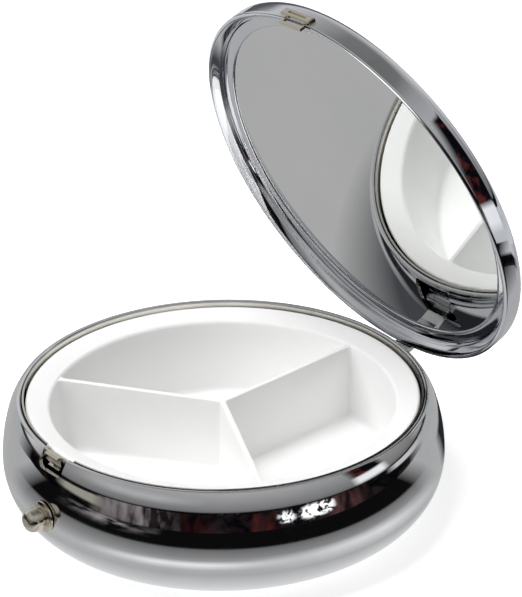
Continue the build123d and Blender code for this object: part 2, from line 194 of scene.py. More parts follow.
def cut(obj, cutter):
    """Cut one object away from another and throw the cutter away."""
    modifier = obj.modifiers.new("cut", "BOOLEAN")
    modifier.operation = "DIFFERENCE"
    modifier.solver = "EXACT"
    modifier.object = cutter
    graph = bpy.context.evaluated_depsgraph_get()
    mesh = bpy.data.meshes.new_from_object(obj.evaluated_get(graph))
    obj.modifiers.clear()
    old = obj.data
    obj.data = mesh
    mesh.name = obj.name
    bpy.data.meshes.remove(old)
    bpy.data.objects.remove(cutter)
    return obj


def transform(obj, matrix):
    """Move an object's mesh, leaving the object itself where it is."""
    obj.data.transform(matrix)
    return obj


def swing_open():
    """Matrix that takes a lid piece from closed to where it rests."""
    pivot = Matrix.Translation(HINGE * MM)
    turn = Matrix.Rotation(math.radians(LID_OPEN), 4, Vector(LID_JOINT["axis"]))
    return pivot @ turn @ pivot.inverted()


def at_latch():
    """Turn about Z that the latch, its notch and the button share."""
    return Matrix.Rotation(LATCH_TURN, 4, "Z")


# ---------------------------------------------------------------- materials

def node_tree(name):
    material = bpy.data.materials.new(name)
    material.use_nodes = True
    nodes = material.node_tree.nodes
    nodes.clear()
    output = nodes.new("ShaderNodeOutputMaterial")
    shader = nodes.new("ShaderNodeBsdfPrincipled")
    material.node_tree.links.new(shader.outputs[0], output.inputs[0])
    return material, shader


def add(material, kind, **values):
    """Add a node; values set its attributes, or its inputs by name."""
    node = material.node_tree.nodes.new(kind)
    for key, value in values.items():
        if key in node.inputs:
            node.inputs[key].default_value = value
        else:
            setattr(node, key, value)
    return node


def link(material, source, target):
    material.node_tree.links.new(source, target)


def object_coordinates(material, scale=(1, 1, 1), rotation=(0, 0, 0)):
    place = add(material, "ShaderNodeTexCoord")
    mapping = add(material, "ShaderNodeMapping")
    mapping.inputs["Scale"].default_value = scale
    mapping.inputs["Rotation"].default_value = rotation
    link(material, place.outputs["Object"], mapping.inputs["Vector"])
    return mapping.outputs["Vector"]


def scaled(material, vector, scale):
    mapping = add(material, "ShaderNodeMapping")
    mapping.inputs["Scale"].default_value = scale
    link(material, vector, mapping.inputs["Vector"])
    return mapping.outputs["Vector"]


def noise(material, vector, scale, detail=4.0, roughness=0.5, distortion=0.0):
    node = add(material, "ShaderNodeTexNoise")
    node.inputs["Scale"].default_value = scale
    node.inputs["Detail"].default_value = detail
    node.inputs["Roughness"].default_value = roughness
    node.inputs["Distortion"].default_value = distortion
    link(material, vector, node.inputs["Vector"])
    return node.outputs["Fac"]


def ramp(material, value, low, high, low_out=0.0, high_out=1.0):
    """Map value from low..high to low_out..high_out, clamped."""
    node = add(material, "ShaderNodeMapRange")
    node.clamp = True
    limits = {"From Min": low, "From Max": high, "To Min": low_out, "To Max": high_out}
    for socket, number in limits.items():
        node.inputs[socket].default_value = number
    link(material, value, node.inputs["Value"])
    return node.outputs["Result"]


def math_node(material, operation, first, second):
    node = add(material, "ShaderNodeMath")
    node.operation = operation
    for index, value in enumerate((first, second)):
        if isinstance(value, (int, float)):
            node.inputs[index].default_value = value
        else:
            link(material, value, node.inputs[index])
    return node.outputs[0]


def mix_colour(material, factor, first, second):
    node = add(material, "ShaderNodeMix")
    node.data_type = "RGBA"
    link(material, factor, node.inputs[0])
    node.inputs[6].default_value = (*first, 1)
    node.inputs[7].default_value = (*second, 1)
    return node.outputs[2]


def scratches(material, scale, angle, keep):
    """Thin broken lines in one direction: stretched noise, kept only where it is near its middle."""
    vector = object_coordinates(material, (1, 0.02, 0.35), (angle, angle * 0.7, angle * 1.3))
    lines = noise(material, vector, scale, 2.0, 0.4, 0.3)
    centred = math_node(material, "ABSOLUTE", math_node(material, "SUBTRACT", lines, 0.5), 0.0)
    thin = ramp(material, centred, 0.0, keep, 1.0, 0.0)
    patches = ramp(material, noise(material, object_coordinates(material), 160, 2.0), 0.5, 0.62)
    return math_node(material, "MULTIPLY", thin, patches)


def polished_metal(name, dark, light, roughness, wear, dents=0.4, wobble=0.35):
    """Plated metal: smudges, hairline scratches, tiny pits and a slight wobble in the sheet."""
    material, shader = node_tree(name)
    shader.inputs["Metallic"].default_value = 1.0
    vector = object_coordinates(material)
    cloud = noise(material, vector, 90, 5.0, 0.55, 0.4)
    colour = mix_colour(material, ramp(material, cloud, 0.35, 0.65), dark, light)
    link(material, colour, shader.inputs["Base Color"])
    lines = math_node(
        material, "MAXIMUM",
        scratches(material, 2600, 0.4, 0.012),
        scratches(material, 2100, 2.1, 0.010),
    )
    smudge = ramp(material, noise(material, vector, 240, 6.0, 0.6), 0.45, 0.75, 0.0, wear)
    rough = math_node(material, "ADD", math_node(material, "MULTIPLY", lines, wear * 2.5), smudge)
    link(material, math_node(material, "ADD", rough, roughness), shader.inputs["Roughness"])
    pits = add(material, "ShaderNodeTexVoronoi")
    pits.inputs["Scale"].default_value = 420
    pits.inputs["Randomness"].default_value = 1.0
    link(material, vector, pits.inputs["Vector"])
    pit = ramp(material, pits.outputs["Distance"], 0.0, 0.09, -1.0, 0.0)
    sheet = noise(material, vector, 55, 1.0, 0.3)
    height = math_node(
        material, "ADD",
        math_node(material, "MULTIPLY", pit, dents * 0.02),
        math_node(material, "MULTIPLY", sheet, wobble),
    )
    height = math_node(material, "SUBTRACT", height, math_node(material, "MULTIPLY", lines, 0.004))
    bump = add(material, "ShaderNodeBump")
    bump.inputs["Strength"].default_value = 0.5
    bump.inputs["Distance"].default_value = 0.0002
    link(material, height, bump.inputs["Height"])
    link(material, bump.outputs["Normal"], shader.inputs["Normal"])
    return material


def tray_plastic():
    """Moulded white plastic with a faint satin texture and soft scuffs."""
    material, shader = node_tree("tray_plastic")
    vector = object_coordinates(material)
    cloud = noise(material, vector, 70, 4.0, 0.5)
    shade = ramp(material, cloud, 0.3, 0.7)
    colour = mix_colour(material, shade, (0.945, 0.945, 0.935), (0.975, 0.975, 0.97))
    link(material, colour, shader.inputs["Base Color"])
    shader.inputs["Subsurface Weight"].default_value = 0.10
    shader.inputs["Subsurface Radius"].default_value = (1.0, 0.9, 0.8)
    shader.inputs["Subsurface Scale"].default_value = 0.0004
    shader.inputs["IOR"].default_value = 1.46
    scuffs = ramp(material, noise(material, vector, 420, 6.0, 0.65), 0.4, 0.7, 0.30, 0.46)
    link(material, scuffs, shader.inputs["Roughness"])
    grain = noise(material, vector, 5200, 3.0, 0.6)
    bump = add(material, "ShaderNodeBump")
    bump.inputs["Strength"].default_value = 0.12
    bump.inputs["Distance"].default_value = 0.00005
    link(material, grain, bump.inputs["Height"])
    link(material, bump.outputs["Normal"], shader.inputs["Normal"])
    return material


def mirror_glass():
    """Flat silvered glass with a trace of dust, haze and hairline marks."""
    material, shader = node_tree("mirror_glass")
    shader.inputs["Metallic"].default_value = 1.0
    vector = object_coordinates(material)
    haze = noise(material, vector, 60, 4.0, 0.6)
    colour = mix_colour(material, ramp(material, haze, 0.35, 0.7), (0.80, 0.815, 0.805), (0.84, 0.85, 0.84))
    link(material, colour, shader.inputs["Base Color"])
    specks = add(material, "ShaderNodeTexVoronoi")
    specks.inputs["Scale"].default_value = 900
    link(material, vector, specks.inputs["Vector"])
    dust = ramp(material, specks.outputs["Distance"], 0.03, 0.06, 0.22, 0.0)
    lines = math_node(material, "MULTIPLY", scratches(material, 1900, 1.1, 0.008), 0.12)
    rough = math_node(material, "ADD", math_node(material, "MAXIMUM", dust, lines), 0.012)
    link(material, rough, shader.inputs["Roughness"])
    return material


def dull_card():
    """Grey fibre card."""
    material, shader = node_tree("dull_card")
    vector = object_coordinates(material)
    fibre = noise(material, vector, 1500, 6.0, 0.7)
    colour = mix_colour(material, fibre, (0.45, 0.43, 0.39), (0.62, 0.60, 0.55))
    link(material, colour, shader.inputs["Base Color"])
    shader.inputs["Roughness"].default_value = 0.9
    return material


CHROME = polished_metal(
    "chrome_plate", (0.76, 0.77, 0.79), (0.84, 0.845, 0.86), roughness=0.035, wear=0.05)
LID_CHROME = polished_metal(
    "lid_chrome", (0.72, 0.74, 0.78), (0.82, 0.83, 0.86), roughness=0.035, wear=0.05)
NICKEL = polished_metal(
    "warm_nickel", (0.66, 0.61, 0.50), (0.78, 0.73, 0.62), roughness=0.09, wear=0.08)
LINER = polished_metal(
    "liner_nickel", (0.60, 0.58, 0.53), (0.72, 0.70, 0.65), roughness=0.10, wear=0.08)
STEEL = polished_metal(
    "bright_steel", (0.55, 0.55, 0.56), (0.68, 0.68, 0.69), roughness=0.16, wear=0.10)
TRAY_WHITE = tray_plastic()
MIRROR = mirror_glass()
CARD = dull_card()


def dress(obj, material):
    obj.data.materials.clear()
    obj.data.materials.append(material)
    return obj


def stand_for(piece, body, slot, *nodes):
    """A detailed piece rides on a body and hides the CAD nodes it stands for; the slot argument is not
    used.
    """
    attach(piece, body)
    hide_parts(*nodes)
    return piece


# ---------------------------------------------------------------- base

def bowl_outline():
    """Closed outline of the base shell, outside up to the rim and back down inside."""
    def skin(inset, steps):
        foot, side, shoulder = FOOT_R - inset, SIDE_R - inset, SHOULDER_R - inset
        rim = math.asin((RIM_Z - RIM_ROUND - SHOULDER_C[1]) / shoulder)
        points = arc(FOOT_C, foot, -math.pi / 2, 0, steps * 3)
        points += arc(SIDE_C, side, 0, SIDE_ANGLE, steps * 2)[1:]
        return points + arc(SHOULDER_C, shoulder, SIDE_ANGLE, rim, steps * 2)[1:]

    outer = skin(0, 12)
    inner = skin(SHEET, 8)
    outer_r, inner_r = outer[-1][0], inner[-1][0]
    middle = (outer_r + inner_r) / 2
    half = (outer_r - inner_r) / 2
    lip = []
    for step in range(1, 8):
        angle = math.pi * step / 8
        lip.append((middle + half * math.cos(angle), RIM_Z - RIM_ROUND + RIM_ROUND * math.sin(angle)))
    flat = [(radius, 0.0) for radius in FLOOR_RINGS]
    inner_flat = [(radius, SHEET) for radius in FLOOR_RINGS[::-1]]
    return flat + outer + lip + inner[::-1] + inner_flat


def base_shell():
    """Bowl with the latch notch, the hinge slot and the button's hole cut through its side."""
    shell = lathe("base_shell_plate", bowl_outline(), FINE_AROUND)
    low = RIM_Z - NOTCH_DEPTH
    right = (NOTCH_HALF - NOTCH_RIGHT_R, low + NOTCH_RIGHT_R)
    left = (NOTCH_LEFT_R - NOTCH_HALF, low + NOTCH_LEFT_R)
    profile = [(NOTCH_HALF, RIM_Z + CUT_ABOVE)]
    profile += arc(right, NOTCH_RIGHT_R, 0, -math.pi / 2, 6)
    profile += arc(left, NOTCH_LEFT_R, -math.pi / 2, -math.pi, 10)
    profile += [(-NOTCH_HALF, RIM_Z + CUT_ABOVE)]
    near, far = CUT_REACH
    cut(shell, transform(prism("notch_cutter", profile, -far, -near), at_latch()))
    slot = rounded_rectangle(SLOT_HALF, *SLOT_Z, SLOT_CORNER)
    cut(shell, prism("slot_cutter", slot, near, far))
    hole = bmesh.new()
    bmesh.ops.create_cone(
        hole, cap_ends=True, segments=48, radius1=BUTTON_HOLE_R * MM, radius2=BUTTON_HOLE_R * MM,
        depth=BUTTON_HOLE_LENGTH * MM,
    )
    centre = Matrix.Translation((0, BUTTON_HOLE_Y * MM, BUTTON_HOLE_Z * MM))
    hole.transform(at_latch() @ (centre @ Matrix.Rotation(math.pi / 2, 4, "X")))
    cut(shell, make_object("hole_cutter", hole))
    shell.data.polygons.foreach_set("use_smooth", [True] * len(shell.data.polygons))
    shell.data.set_sharp_from_angle(angle=math.radians(SHARP_ANGLE))
    return stand_for(dress(shell, CHROME), "base", "chrome", "base_shell")


# ---------------------------------------------------------------- tray

def pocket_outline(half_divider, radius, apex_r, corner_r):
    """Round-cornered sector of 120 degrees about +X, as a list of (x, y)."""
    open_half = math.pi / 3
    points = []
    apex = (half_divider + apex_r) / math.sin(open_half)
    for step in range(9):
        angle = math.radians(210 - 60 * step / 8)
        points.append((apex + apex_r * math.cos(angle), apex_r * math.sin(angle)))
    middle_r = radius - corner_r
    turn = open_half - math.asin((half_divider + corner_r) / middle_r)
    corner = (middle_r * math.cos(turn), middle_r * math.sin(turn))
    upper = []
    for step in range(9):
        angle = math.radians(150) + (turn - math.radians(150)) * step / 8
        upper.append((corner[0] + corner_r * math.cos(angle), corner[1] + corner_r * math.sin(angle)))
    start = points[-1]
    for step in range(1, WALL_STEPS):
        share = step / WALL_STEPS
        points.append((
            start[0] + (upper[0][0] - start[0]) * share,
            start[1] + (upper[0][1] - start[1]) * share,
        ))
    points += upper
    for step in range(1, RIM_STEPS):
        angle = turn - 2 * turn * step / RIM_STEPS
        points.append((radius * math.cos(angle), radius * math.sin(angle)))
    lower = [(x, -y) for x, y in upper[::-1]]
    points += lower
    for step in range(1, WALL_STEPS):
        share = step / WALL_STEPS
        points.append((
            lower[-1][0] + (start[0] - lower[-1][0]) * share,
            lower[-1][1] + (-start[1] - lower[-1][1]) * share,
        ))
    return points


def wall_radius(height):
    """Radius of a pocket's outer wall: a rounded lip over a wall with a little draft."""
    bend = POCKET_TOP_Z
    if height > bend:
        share = (height - bend) / (LIP_Z - bend)
        return POCKET_TOP_R + (LIP_R - POCKET_TOP_R) * (1 - math.sqrt(max(0, 1 - share * share)))
    share = (height - POCKET_FLOOR_Z) / (bend - POCKET_FLOOR_Z)
    return POCKET_LOW_R + (POCKET_TOP_R - POCKET_LOW_R) * share


def pocket_levels():
    """(height, half divider, outer radius, corner radius) from the divider's top to the floor."""
    edge = DIVIDER_EDGE
    depth = DIVIDER_Z - POCKET_FLOOR_Z
    levels = []
    for step in range(6):
        angle = math.pi / 2 * step / 5
        levels.append((DIVIDER_Z - edge * (1 - math.cos(angle)), -edge * (1 - math.sin(angle))))
    straight = depth - edge - POCKET_CORNER
    for step in range(1, 9):
        levels.append((DIVIDER_Z - edge - straight * step / 8, 0.0))
    for step in range(1, 8):
        angle = math.pi / 2 * step / 7
        drop = POCKET_CORNER * (1 - math.sin(angle))
        levels.append((POCKET_FLOOR_Z + drop, POCKET_CORNER * (1 - math.cos(angle))))
    rows = []
    for height, inset in levels:
        down = (DIVIDER_Z - height) / depth
        half = (DIVIDER_TOP + (DIVIDER_LOW - DIVIDER_TOP) * down) / 2 + inset
        radius = wall_radius(height) - max(inset, 0)
        rows.append((height, half, radius, POCKET_SIDE_R))
    return rows


def ring_of(bm, radius, height, steps=TRAY_AROUND):
    """Ring of new points about Z."""
    ring = []
    for step in range(steps):
        angle = 2 * math.pi * step / steps
        x, y = radius * math.cos(angle) * MM, radius * math.sin(angle) * MM
        ring.append(bm.verts.new((x, y, height * MM)))
    return ring


def skin_between(bm, rings):
    """Join each ring to the next with four-sided faces."""
    for upper, lower in zip(rings, rings[1:]):
        for step in range(len(upper)):
            after = (step + 1) % len(upper)
            bm.faces.new((upper[step], upper[after], lower[after], lower[step]))


def pill_tray():
    """White tray in one skin: three pockets, the lip around them, the flange and the foot."""
    bm = bmesh.new()
    rim = []
    for index in range(3):
        turn = Matrix.Rotation(TRAY_TWIST + math.pi / 3 + 2 * math.pi / 3 * index, 3, "Z")
        loops = []
        for height, half, radius, corner in pocket_levels():
            outline = pocket_outline(half, radius, POCKET_APEX_R, corner)
            corners = [turn @ Vector((x * MM, y * MM, height * MM)) for x, y in outline]
            loops.append([bm.verts.new(spot) for spot in corners])
        skin_between(bm, loops)
        last = loops[-1]
        centre = sum((vert.co for vert in last), Vector()) / len(last)
        for share in (0.7, 0.4):
            ring = [bm.verts.new(centre + (vert.co - centre) * share) for vert in loops[-1]]
            skin_between(bm, [last, ring])
            last = ring
        hub = bm.verts.new(centre)
        for step in range(len(last)):
            bm.faces.new((last[step], last[(step + 1) % len(last)], hub))
        rim += list(zip(loops[0], loops[0][1:] + loops[0][:1]))
    lip = []
    for step in range(9):
        height = LIP_Z - (LIP_Z - DIVIDER_Z) * step / 8
        lip.append((wall_radius(height) + (LIP_GAP if step == 8 else 0), height))
    lip_rings = [ring_of(bm, *spot) for spot in lip]
    skin_between(bm, lip_rings)
    edge = FLANGE_EDGE
    low = TRAY_TOP_Z - FLANGE_T
    side = [(20.35, LIP_Z + 0.09), (21.2, LIP_Z + 0.30), (21.75, LIP_Z + 0.45)]
    side += arc((TRAY_R - edge, TRAY_TOP_Z - edge), edge, math.pi / 2, 0, 6)
    side += arc((TRAY_R - edge, low + edge), edge, 0, -math.pi / 2, 5)
    side += [(20.7, low), (20.4, low - 0.25), (19.6, TRAY_LOW_Z + 0.9), (19.3, TRAY_LOW_Z + 0.4)]
    side += [(18.7, TRAY_LOW_Z), (RECESS_R + 0.2, TRAY_LOW_Z), (RECESS_R, TRAY_LOW_Z + 0.2)]
    side += [(RECESS_R, RECESS_Z), (12.0, RECESS_Z), (5.0, RECESS_Z)]
    rings = [lip_rings[0]] + [ring_of(bm, *spot) for spot in side]
    skin_between(bm, rings)
    bottom = bm.verts.new((0, 0, RECESS_Z * MM))
    for step in range(TRAY_AROUND):
        bm.faces.new((rings[-1][step], rings[-1][(step + 1) % TRAY_AROUND], bottom))
    boundary = [bm.edges.get(pair) for pair in rim]
    inner = lip_rings[-1]
    boundary += [bm.edges.get(pair) for pair in zip(inner, inner[1:] + inner[:1])]
    bmesh.ops.triangle_fill(bm, edges=boundary, use_beauty=True)
    tray = make_object("tray_moulding", bm, SOFT_ANGLE)
    return stand_for(dress(tray, TRAY_WHITE), "tray", "tray_white", "pill_tray")


# ---------------------------------------------------------------- lid

def lid_outline():
    """Closed outline of the lid's cap with a rolled mouth."""
    corner_c = (LID_R - LID_CORNER_R, MOUTH_Z + SKIRT_H)
    tilt = math.acos(corner_c[0] / (DOME_R - LID_CORNER_R))
    dome_c = (0.0, corner_c[1] - (DOME_R - LID_CORNER_R) * math.sin(tilt))

    def skin(inset, steps):
        points = arc(corner_c, LID_CORNER_R - inset, 0, tilt, steps)
        return points + arc(dome_c, DOME_R - inset, tilt, math.pi / 2, steps)[1:]

    mouth = [
        (LID_R - SHEET, MOUTH_Z + 0.12), (LID_R - 0.39, MOUTH_Z + 0.05), (LID_R - 0.34, MOUTH_Z + 0.01),
        (LID_R - 0.28, MOUTH_Z + 0.03), (LID_R - 0.16, MOUTH_Z + 0.11), (LID_R - 0.05, MOUTH_Z + 0.19),
        (LID_R - 0.01, MOUTH_Z + 0.26), (LID_R, MOUTH_Z + 0.36),
    ]
    outer = mouth + skin(0, 16)
    inner = skin(SHEET, 8)[::-1]
    outer[-1] = (0.0, outer[-1][1])
    inner[0] = (0.0, inner[0][1])
    return inner + outer


def lid_pieces():
    """Cap, flange, bezel and mirror, each turned closed and swung open."""
    opened = swing_open()
    shell = lathe("lid_cap", lid_outline(), FINE_AROUND)
    transform(shell, opened)
    stand_for(dress(shell, LID_CHROME), "lid", "chrome", "lid_shell")

    lip = MOUTH_Z
    frame_outline = [
        (FRAME_LIP_R - 0.02, lip + 0.3),
        (FRAME_LIP_R, lip + 0.08),
        (FRAME_LIP_R - 0.03, lip + 0.04),
        (FRAME_LIP_R - 0.08, lip + 0.06),
        (23.06, lip + 0.32),
        (22.66, lip + 0.77),
        (22.61, lip + 0.86),
        (22.59, lip + 1.0),
        (RIDGE_R + 0.04, lip + RIDGE_H - 0.03),
        (RIDGE_R, lip + RIDGE_H + 0.02),
        (RIDGE_R, lip + RIDGE_H + 0.2),
        (RIDGE_R + 0.08, lip + RIDGE_H + 0.25),
        (22.86, lip + 1.1),
        (23.1, lip + 0.66),
    ]
    ring = lathe("lid_flange", frame_outline, FINE_AROUND, SOFT_ANGLE)
    transform(ring, opened)
    stand_for(dress(ring, LID_CHROME), "lid", "chrome", "lid_frame")

    bezel_outline = [
        (BEZEL_OUT_R, lip + 1.47),
        (BEZEL_OUT_R, lip + 1.69),
        (BEZEL_IN_R + 0.05, lip + 1.71),
        (BEZEL_IN_R, lip + 1.66),
        (BEZEL_IN_R + 0.02, lip + 1.56),
        (BEZEL_IN_R + 0.12, lip + 1.50),
        (21.55, lip + 1.42),
        (22.0, lip + 1.46),
    ]
    bezel = lathe("mirror_bezel", bezel_outline, FINE_AROUND, SOFT_ANGLE)
    transform(bezel, opened)
    stand_for(dress(bezel, LID_CHROME), "lid", "chrome", "lid_bezel")

    glass_outline = [
        (0.0, lip + MIRROR_H[0]), (10.0, lip + MIRROR_H[0]), (MIRROR_R - 0.1, lip + MIRROR_H[0]),
        (MIRROR_R, lip + MIRROR_H[0] + 0.1), (MIRROR_R, lip + MIRROR_H[1]),
        (10.0, lip + MIRROR_H[1]), (0.0, lip + MIRROR_H[1]),
    ]
    glass = lathe("mirror_disc", glass_outline, AROUND, 30)
    transform(glass, opened)
    stand_for(dress(glass, MIRROR), "lid", "mirror_glass", "mirror")


def dress_cad_nodes():
    """Nodes whose CAD shape is right keep it and only take a material."""
    finishes = {
        LINER: ("base_ring",),
        NICKEL: ("push_button", "button_ferrule", "latch_hook", "lid_catch"),
        STEEL: ("tail_washer", "latch_spring", "spring_rivets", "hinge_ears", "ear_rivets",
                "hinge_pin", "lid_knuckle"),
        CARD: ("mirror_pad",),
    }
    for material, names in finishes.items():
        for name in names:
            dress(frame["nodes"][name], material)


# ---------------------------------------------------------------- stage, lights, camera

VIEW_AZIMUTH = math.radians(50.3)
VIEW_ELEVATION = math.radians(27.85)
VIEW_DISTANCE = 450.8
VIEW_ASIDE, VIEW_ABOVE = 0.010, 0.023
VIEW_ROLL = -0.019
LENS, SENSOR_W = 241.2, 36
CLIP_NEAR, CLIP_FAR = 0.01, 20


def flat_material(name, colour, glow=0.0):
    """Plain matt stage finish."""
    material, shader = node_tree(name)
    shader.inputs["Base Color"].default_value = (*colour, 1)
    shader.inputs["Roughness"].default_value = 0.9
    shader.inputs["Specular IOR Level"].default_value = 0.1
    shader.inputs["Emission Color"].default_value = (1, 1, 1, 1)
    shader.inputs["Emission Strength"].default_value = glow
    return material


def glow_material(name):
    """Stage finish that gives its own light; returns it with its colour socket."""
    material = bpy.data.materials.new(name)
    material.use_nodes = True
    nodes = material.node_tree.nodes
    nodes.clear()
    output = nodes.new("ShaderNodeOutputMaterial")
    glow = nodes.new("ShaderNodeEmission")
    material.node_tree.links.new(glow.outputs[0], output.inputs[0])
    return material, glow.inputs["Color"]


def colour_stops(material, value, stops):
    """Colour ramp from (position, grey or colour) stops."""
    node = add(material, "ShaderNodeValToRGB")
    ramp_stops = node.color_ramp.elements
    while len(ramp_stops) < len(stops):
        ramp_stops.new(1.0)
    for element, (position, colour) in zip(ramp_stops, stops):
        element.position = position
        grey = (colour, colour, colour) if isinstance(colour, (int, float)) else colour
        element.color = (*grey, 1)
    link(material, value, node.inputs["Fac"])
    return node.outputs["Color"]


def blend(material, factor, first, second):
    node = add(material, "ShaderNodeMix")
    node.data_type = "RGBA"
    link(material, factor, node.inputs[0])
    for index, value in ((6, first), (7, second)):
        if isinstance(value, tuple):
            node.inputs[index].default_value = (*value, 1)
        else:
            link(material, value, node.inputs[index])
    return node.outputs[2]


def turn_from_view(material, position):
    """Angle about Z between a place and the side the camera is on, as -1..1 half turns."""
    rotate = add(material, "ShaderNodeVectorRotate")
    rotate.rotation_type = "Z_AXIS"
    rotate.inputs["Angle"].default_value = math.pi / 2 - VIEW_AZIMUTH
    link(material, position, rotate.inputs["Vector"])
    parts = add(material, "ShaderNodeSeparateXYZ")
    link(material, rotate.outputs["Vector"], parts.inputs[0])
    angle = math_node(material, "ARCTAN2", parts.outputs["Y"], parts.outputs["X"])
    return math_node(material, "DIVIDE", angle, math.pi)


def window(material, value, low, high, soft):
    """1 between low and high, falling to 0 over soft on each side."""
    rise = ramp(material, value, low - soft, low + soft)
    fall = ramp(material, value, high - soft, high + soft, 1.0, 0.0)
    return math_node(material, "MULTIPLY", rise, fall)


def outside(material, value, low, high, soft):
    """0 between low and high, rising to 1 over soft on each side."""
    return math_node(material, "SUBTRACT", 1.0, window(material, value, low, high, soft))


def only_in_reflections(obj):
    """Studio card that stands out of view and is seen only in polished metal."""
    obj.visible_camera = False
    obj.visible_diffuse = False
    obj.visible_transmission = False
    obj.visible_volume_scatter = False
    obj.visible_shadow = False
    return obj


ROOM_R = 400.0
WALL_R, WALL_H = 80.0, 15.7
PANEL_R, PANEL_Z, PANEL_TURN = 95.0, (17, 134), (0.347, 0.45)
ROOM_STOPS = [
    (0.0, 0.004), (0.066, 0.005), (0.078, 0.16), (0.12, 0.22), (0.33, 0.34), (0.55, 0.46),
    (0.70, 0.34), (0.80, 0.18), (1.0, (0.155, 0.16, 0.14)),
]
ROOM_PALE_STOPS = [
    (0.0, 0.03), (0.07, 0.04), (0.09, 0.62), (0.25, 0.66), (0.5, 0.5), (0.8, 0.2), (1.0, 0.17),
]
PAPER_STOPS = [
    (0.0, 0.80), (0.27, 0.78), (0.33, 0.46), (0.38, 0.52), (0.47, 0.27), (0.54, 0.17), (0.565, 0.004),
    (1.0, 0.004),
]
PAPER_BACK_STOPS = [(0.0, 0.80), (0.27, 0.75), (0.36, 0.46), (1.0, 0.47)]
RING_TINTS = [
    # from, to, softness, tint, weight
    (-0.31, -0.13, 0.03, (0.34, 0.30, 0.305), 0.8),
    (-0.09, -0.04, 0.02, (0.06, 0.012, 0.010), 0.8),
    (0.05, 0.11, 0.02, (0.09, 0.018, 0.014), 0.9),
    (0.26, 0.34, 0.03, (0.17, 0.08, 0.08), 0.7),
]
RING_WINDOWS = ((0.128, 0.160), (0.180, 0.262))
CARD_AROUND = 128
TABLE_RINGS = (WALL_R, 150, 250, ROOM_R - 1)
FLOOR_CARD_Z = 0.12
PANEL_FOOT_Z = (35, 40)


def room_dome():
    """The room as the metal sees it: a dark band at the horizon, paler above."""
    bm = bmesh.new()
    bmesh.ops.create_uvsphere(bm, u_segments=96, v_segments=48, radius=ROOM_R * MM)
    below = [vert for vert in bm.verts if vert.co.z < -0.001]
    bmesh.ops.delete(bm, geom=below, context="VERTS")
    material, colour = glow_material("room_dome")
    position = add(material, "ShaderNodeNewGeometry").outputs["Position"]
    height = add(material, "ShaderNodeSeparateXYZ")
    link(material, position, height.inputs[0])
    slope = math_node(material, "DIVIDE", height.outputs["Z"], ROOM_R * MM)
    slope = math_node(material, "ARCSINE", slope, 0.0)
    slope = math_node(material, "DIVIDE", slope, math.pi / 2)
    turn = turn_from_view(material, position)
    upper = colour_stops(material, slope, ROOM_STOPS)
    behind = outside(material, turn, -0.60, 0.67, 0.05)
    pale = colour_stops(material, slope, ROOM_PALE_STOPS)
    base = blend(material, behind, upper, pale)
    back_dark = math_node(
        material, "MULTIPLY", outside(material, turn, -0.90, 0.88, 0.03),
        window(material, slope, 0.02, 0.28, 0.04),
    )
    base = blend(material, back_dark, base, (0.10, 0.105, 0.12))
    soft = math_node(
        material, "MULTIPLY", window(material, turn, -0.40, -0.12, 0.08),
        window(material, slope, 0.24, 0.34, 0.07),
    )
    base = blend(material, soft, base, (0.55, 0.55, 0.54))
    link(material, base, colour)
    only_in_reflections(dress(make_object("room_dome", bm), material))


def floor_card():
    """The paper under the box as the metal sees it: bright near the box, dark past its edge, with painted
    shadow near and behind the back of the box.
    """
    bm = bmesh.new()
    bmesh.ops.create_circle(bm, cap_ends=True, segments=CARD_AROUND, radius=ROOM_R * MM)
    material, colour = glow_material("floor_card")
    position = add(material, "ShaderNodeNewGeometry").outputs["Position"]
    length = add(material, "ShaderNodeVectorMath")
    length.operation = "LENGTH"
    link(material, position, length.inputs[0])
    reach = math_node(material, "DIVIDE", length.outputs["Value"], WALL_R * MM)
    turn = turn_from_view(material, position)
    front = colour_stops(material, reach, PAPER_STOPS)
    back = colour_stops(material, reach, PAPER_BACK_STOPS)
    behind = outside(material, turn, -0.52, 0.50, 0.04)
    base = blend(material, behind, front, back)
    # painted shadow on the paper near the back of the box
    shaded = math_node(
        material, "MULTIPLY", outside(material, turn, -0.80, 0.66, 0.08),
        ramp(material, reach, 0.34, 0.45, 1.0, 0.0),
    )
    base = blend(material, shaded, base, (0.06, 0.06, 0.07))
    place = add(material, "ShaderNodeSeparateXYZ")
    link(material, position, place.inputs[0])
    # darker painted shadow on the paper straight behind the box
    painted_shadow_behind_box = math_node(
        material, "MULTIPLY", window(material, place.outputs["Y"], 27 * MM, 44 * MM, 2 * MM),
        ramp(material, place.outputs["X"], 10 * MM, 15 * MM, 1.0, 0.0)
    )
    base = blend(material, painted_shadow_behind_box, base, (0.02, 0.02, 0.025))
    haze = window(material, turn, -0.36, -0.20, 0.06)
    haze = math_node(material, "MULTIPLY", haze, window(material, reach, 0.72, 0.98, 0.08))
    streak = noise(material, position, 90, 4.0, 0.6)
    haze = math_node(material, "MULTIPLY", haze, ramp(material, streak, 0.42, 0.60))
    base = blend(material, haze, base, (0.34, 0.31, 0.31))
    glint = window(material, turn, -0.20, 0.05, 0.08)
    glint = math_node(material, "MULTIPLY", glint, window(material, reach, 0.375, 0.41, 0.02))
    base = blend(material, glint, base, (1.0, 1.0, 0.98))
    sheen = window(material, turn, 0.14, 0.42, 0.10)
    sheen = math_node(material, "MULTIPLY", sheen, window(material, reach, 0.36, 0.43, 0.03))
    base = blend(material, sheen, base, (0.80, 0.80, 0.80))
    link(material, base, colour)
    card = make_object("floor_card", bm)
    card.location.z = FLOOR_CARD_Z * MM
    only_in_reflections(dress(card, material))


def strip_mesh(name, radius, low, high, steps=CARD_AROUND):
    """Upright ring of card around the box."""
    bm = bmesh.new()
    skin_between(bm, [ring_of(bm, radius, height, steps) for height in (low, high)])
    return make_object(name, bm)


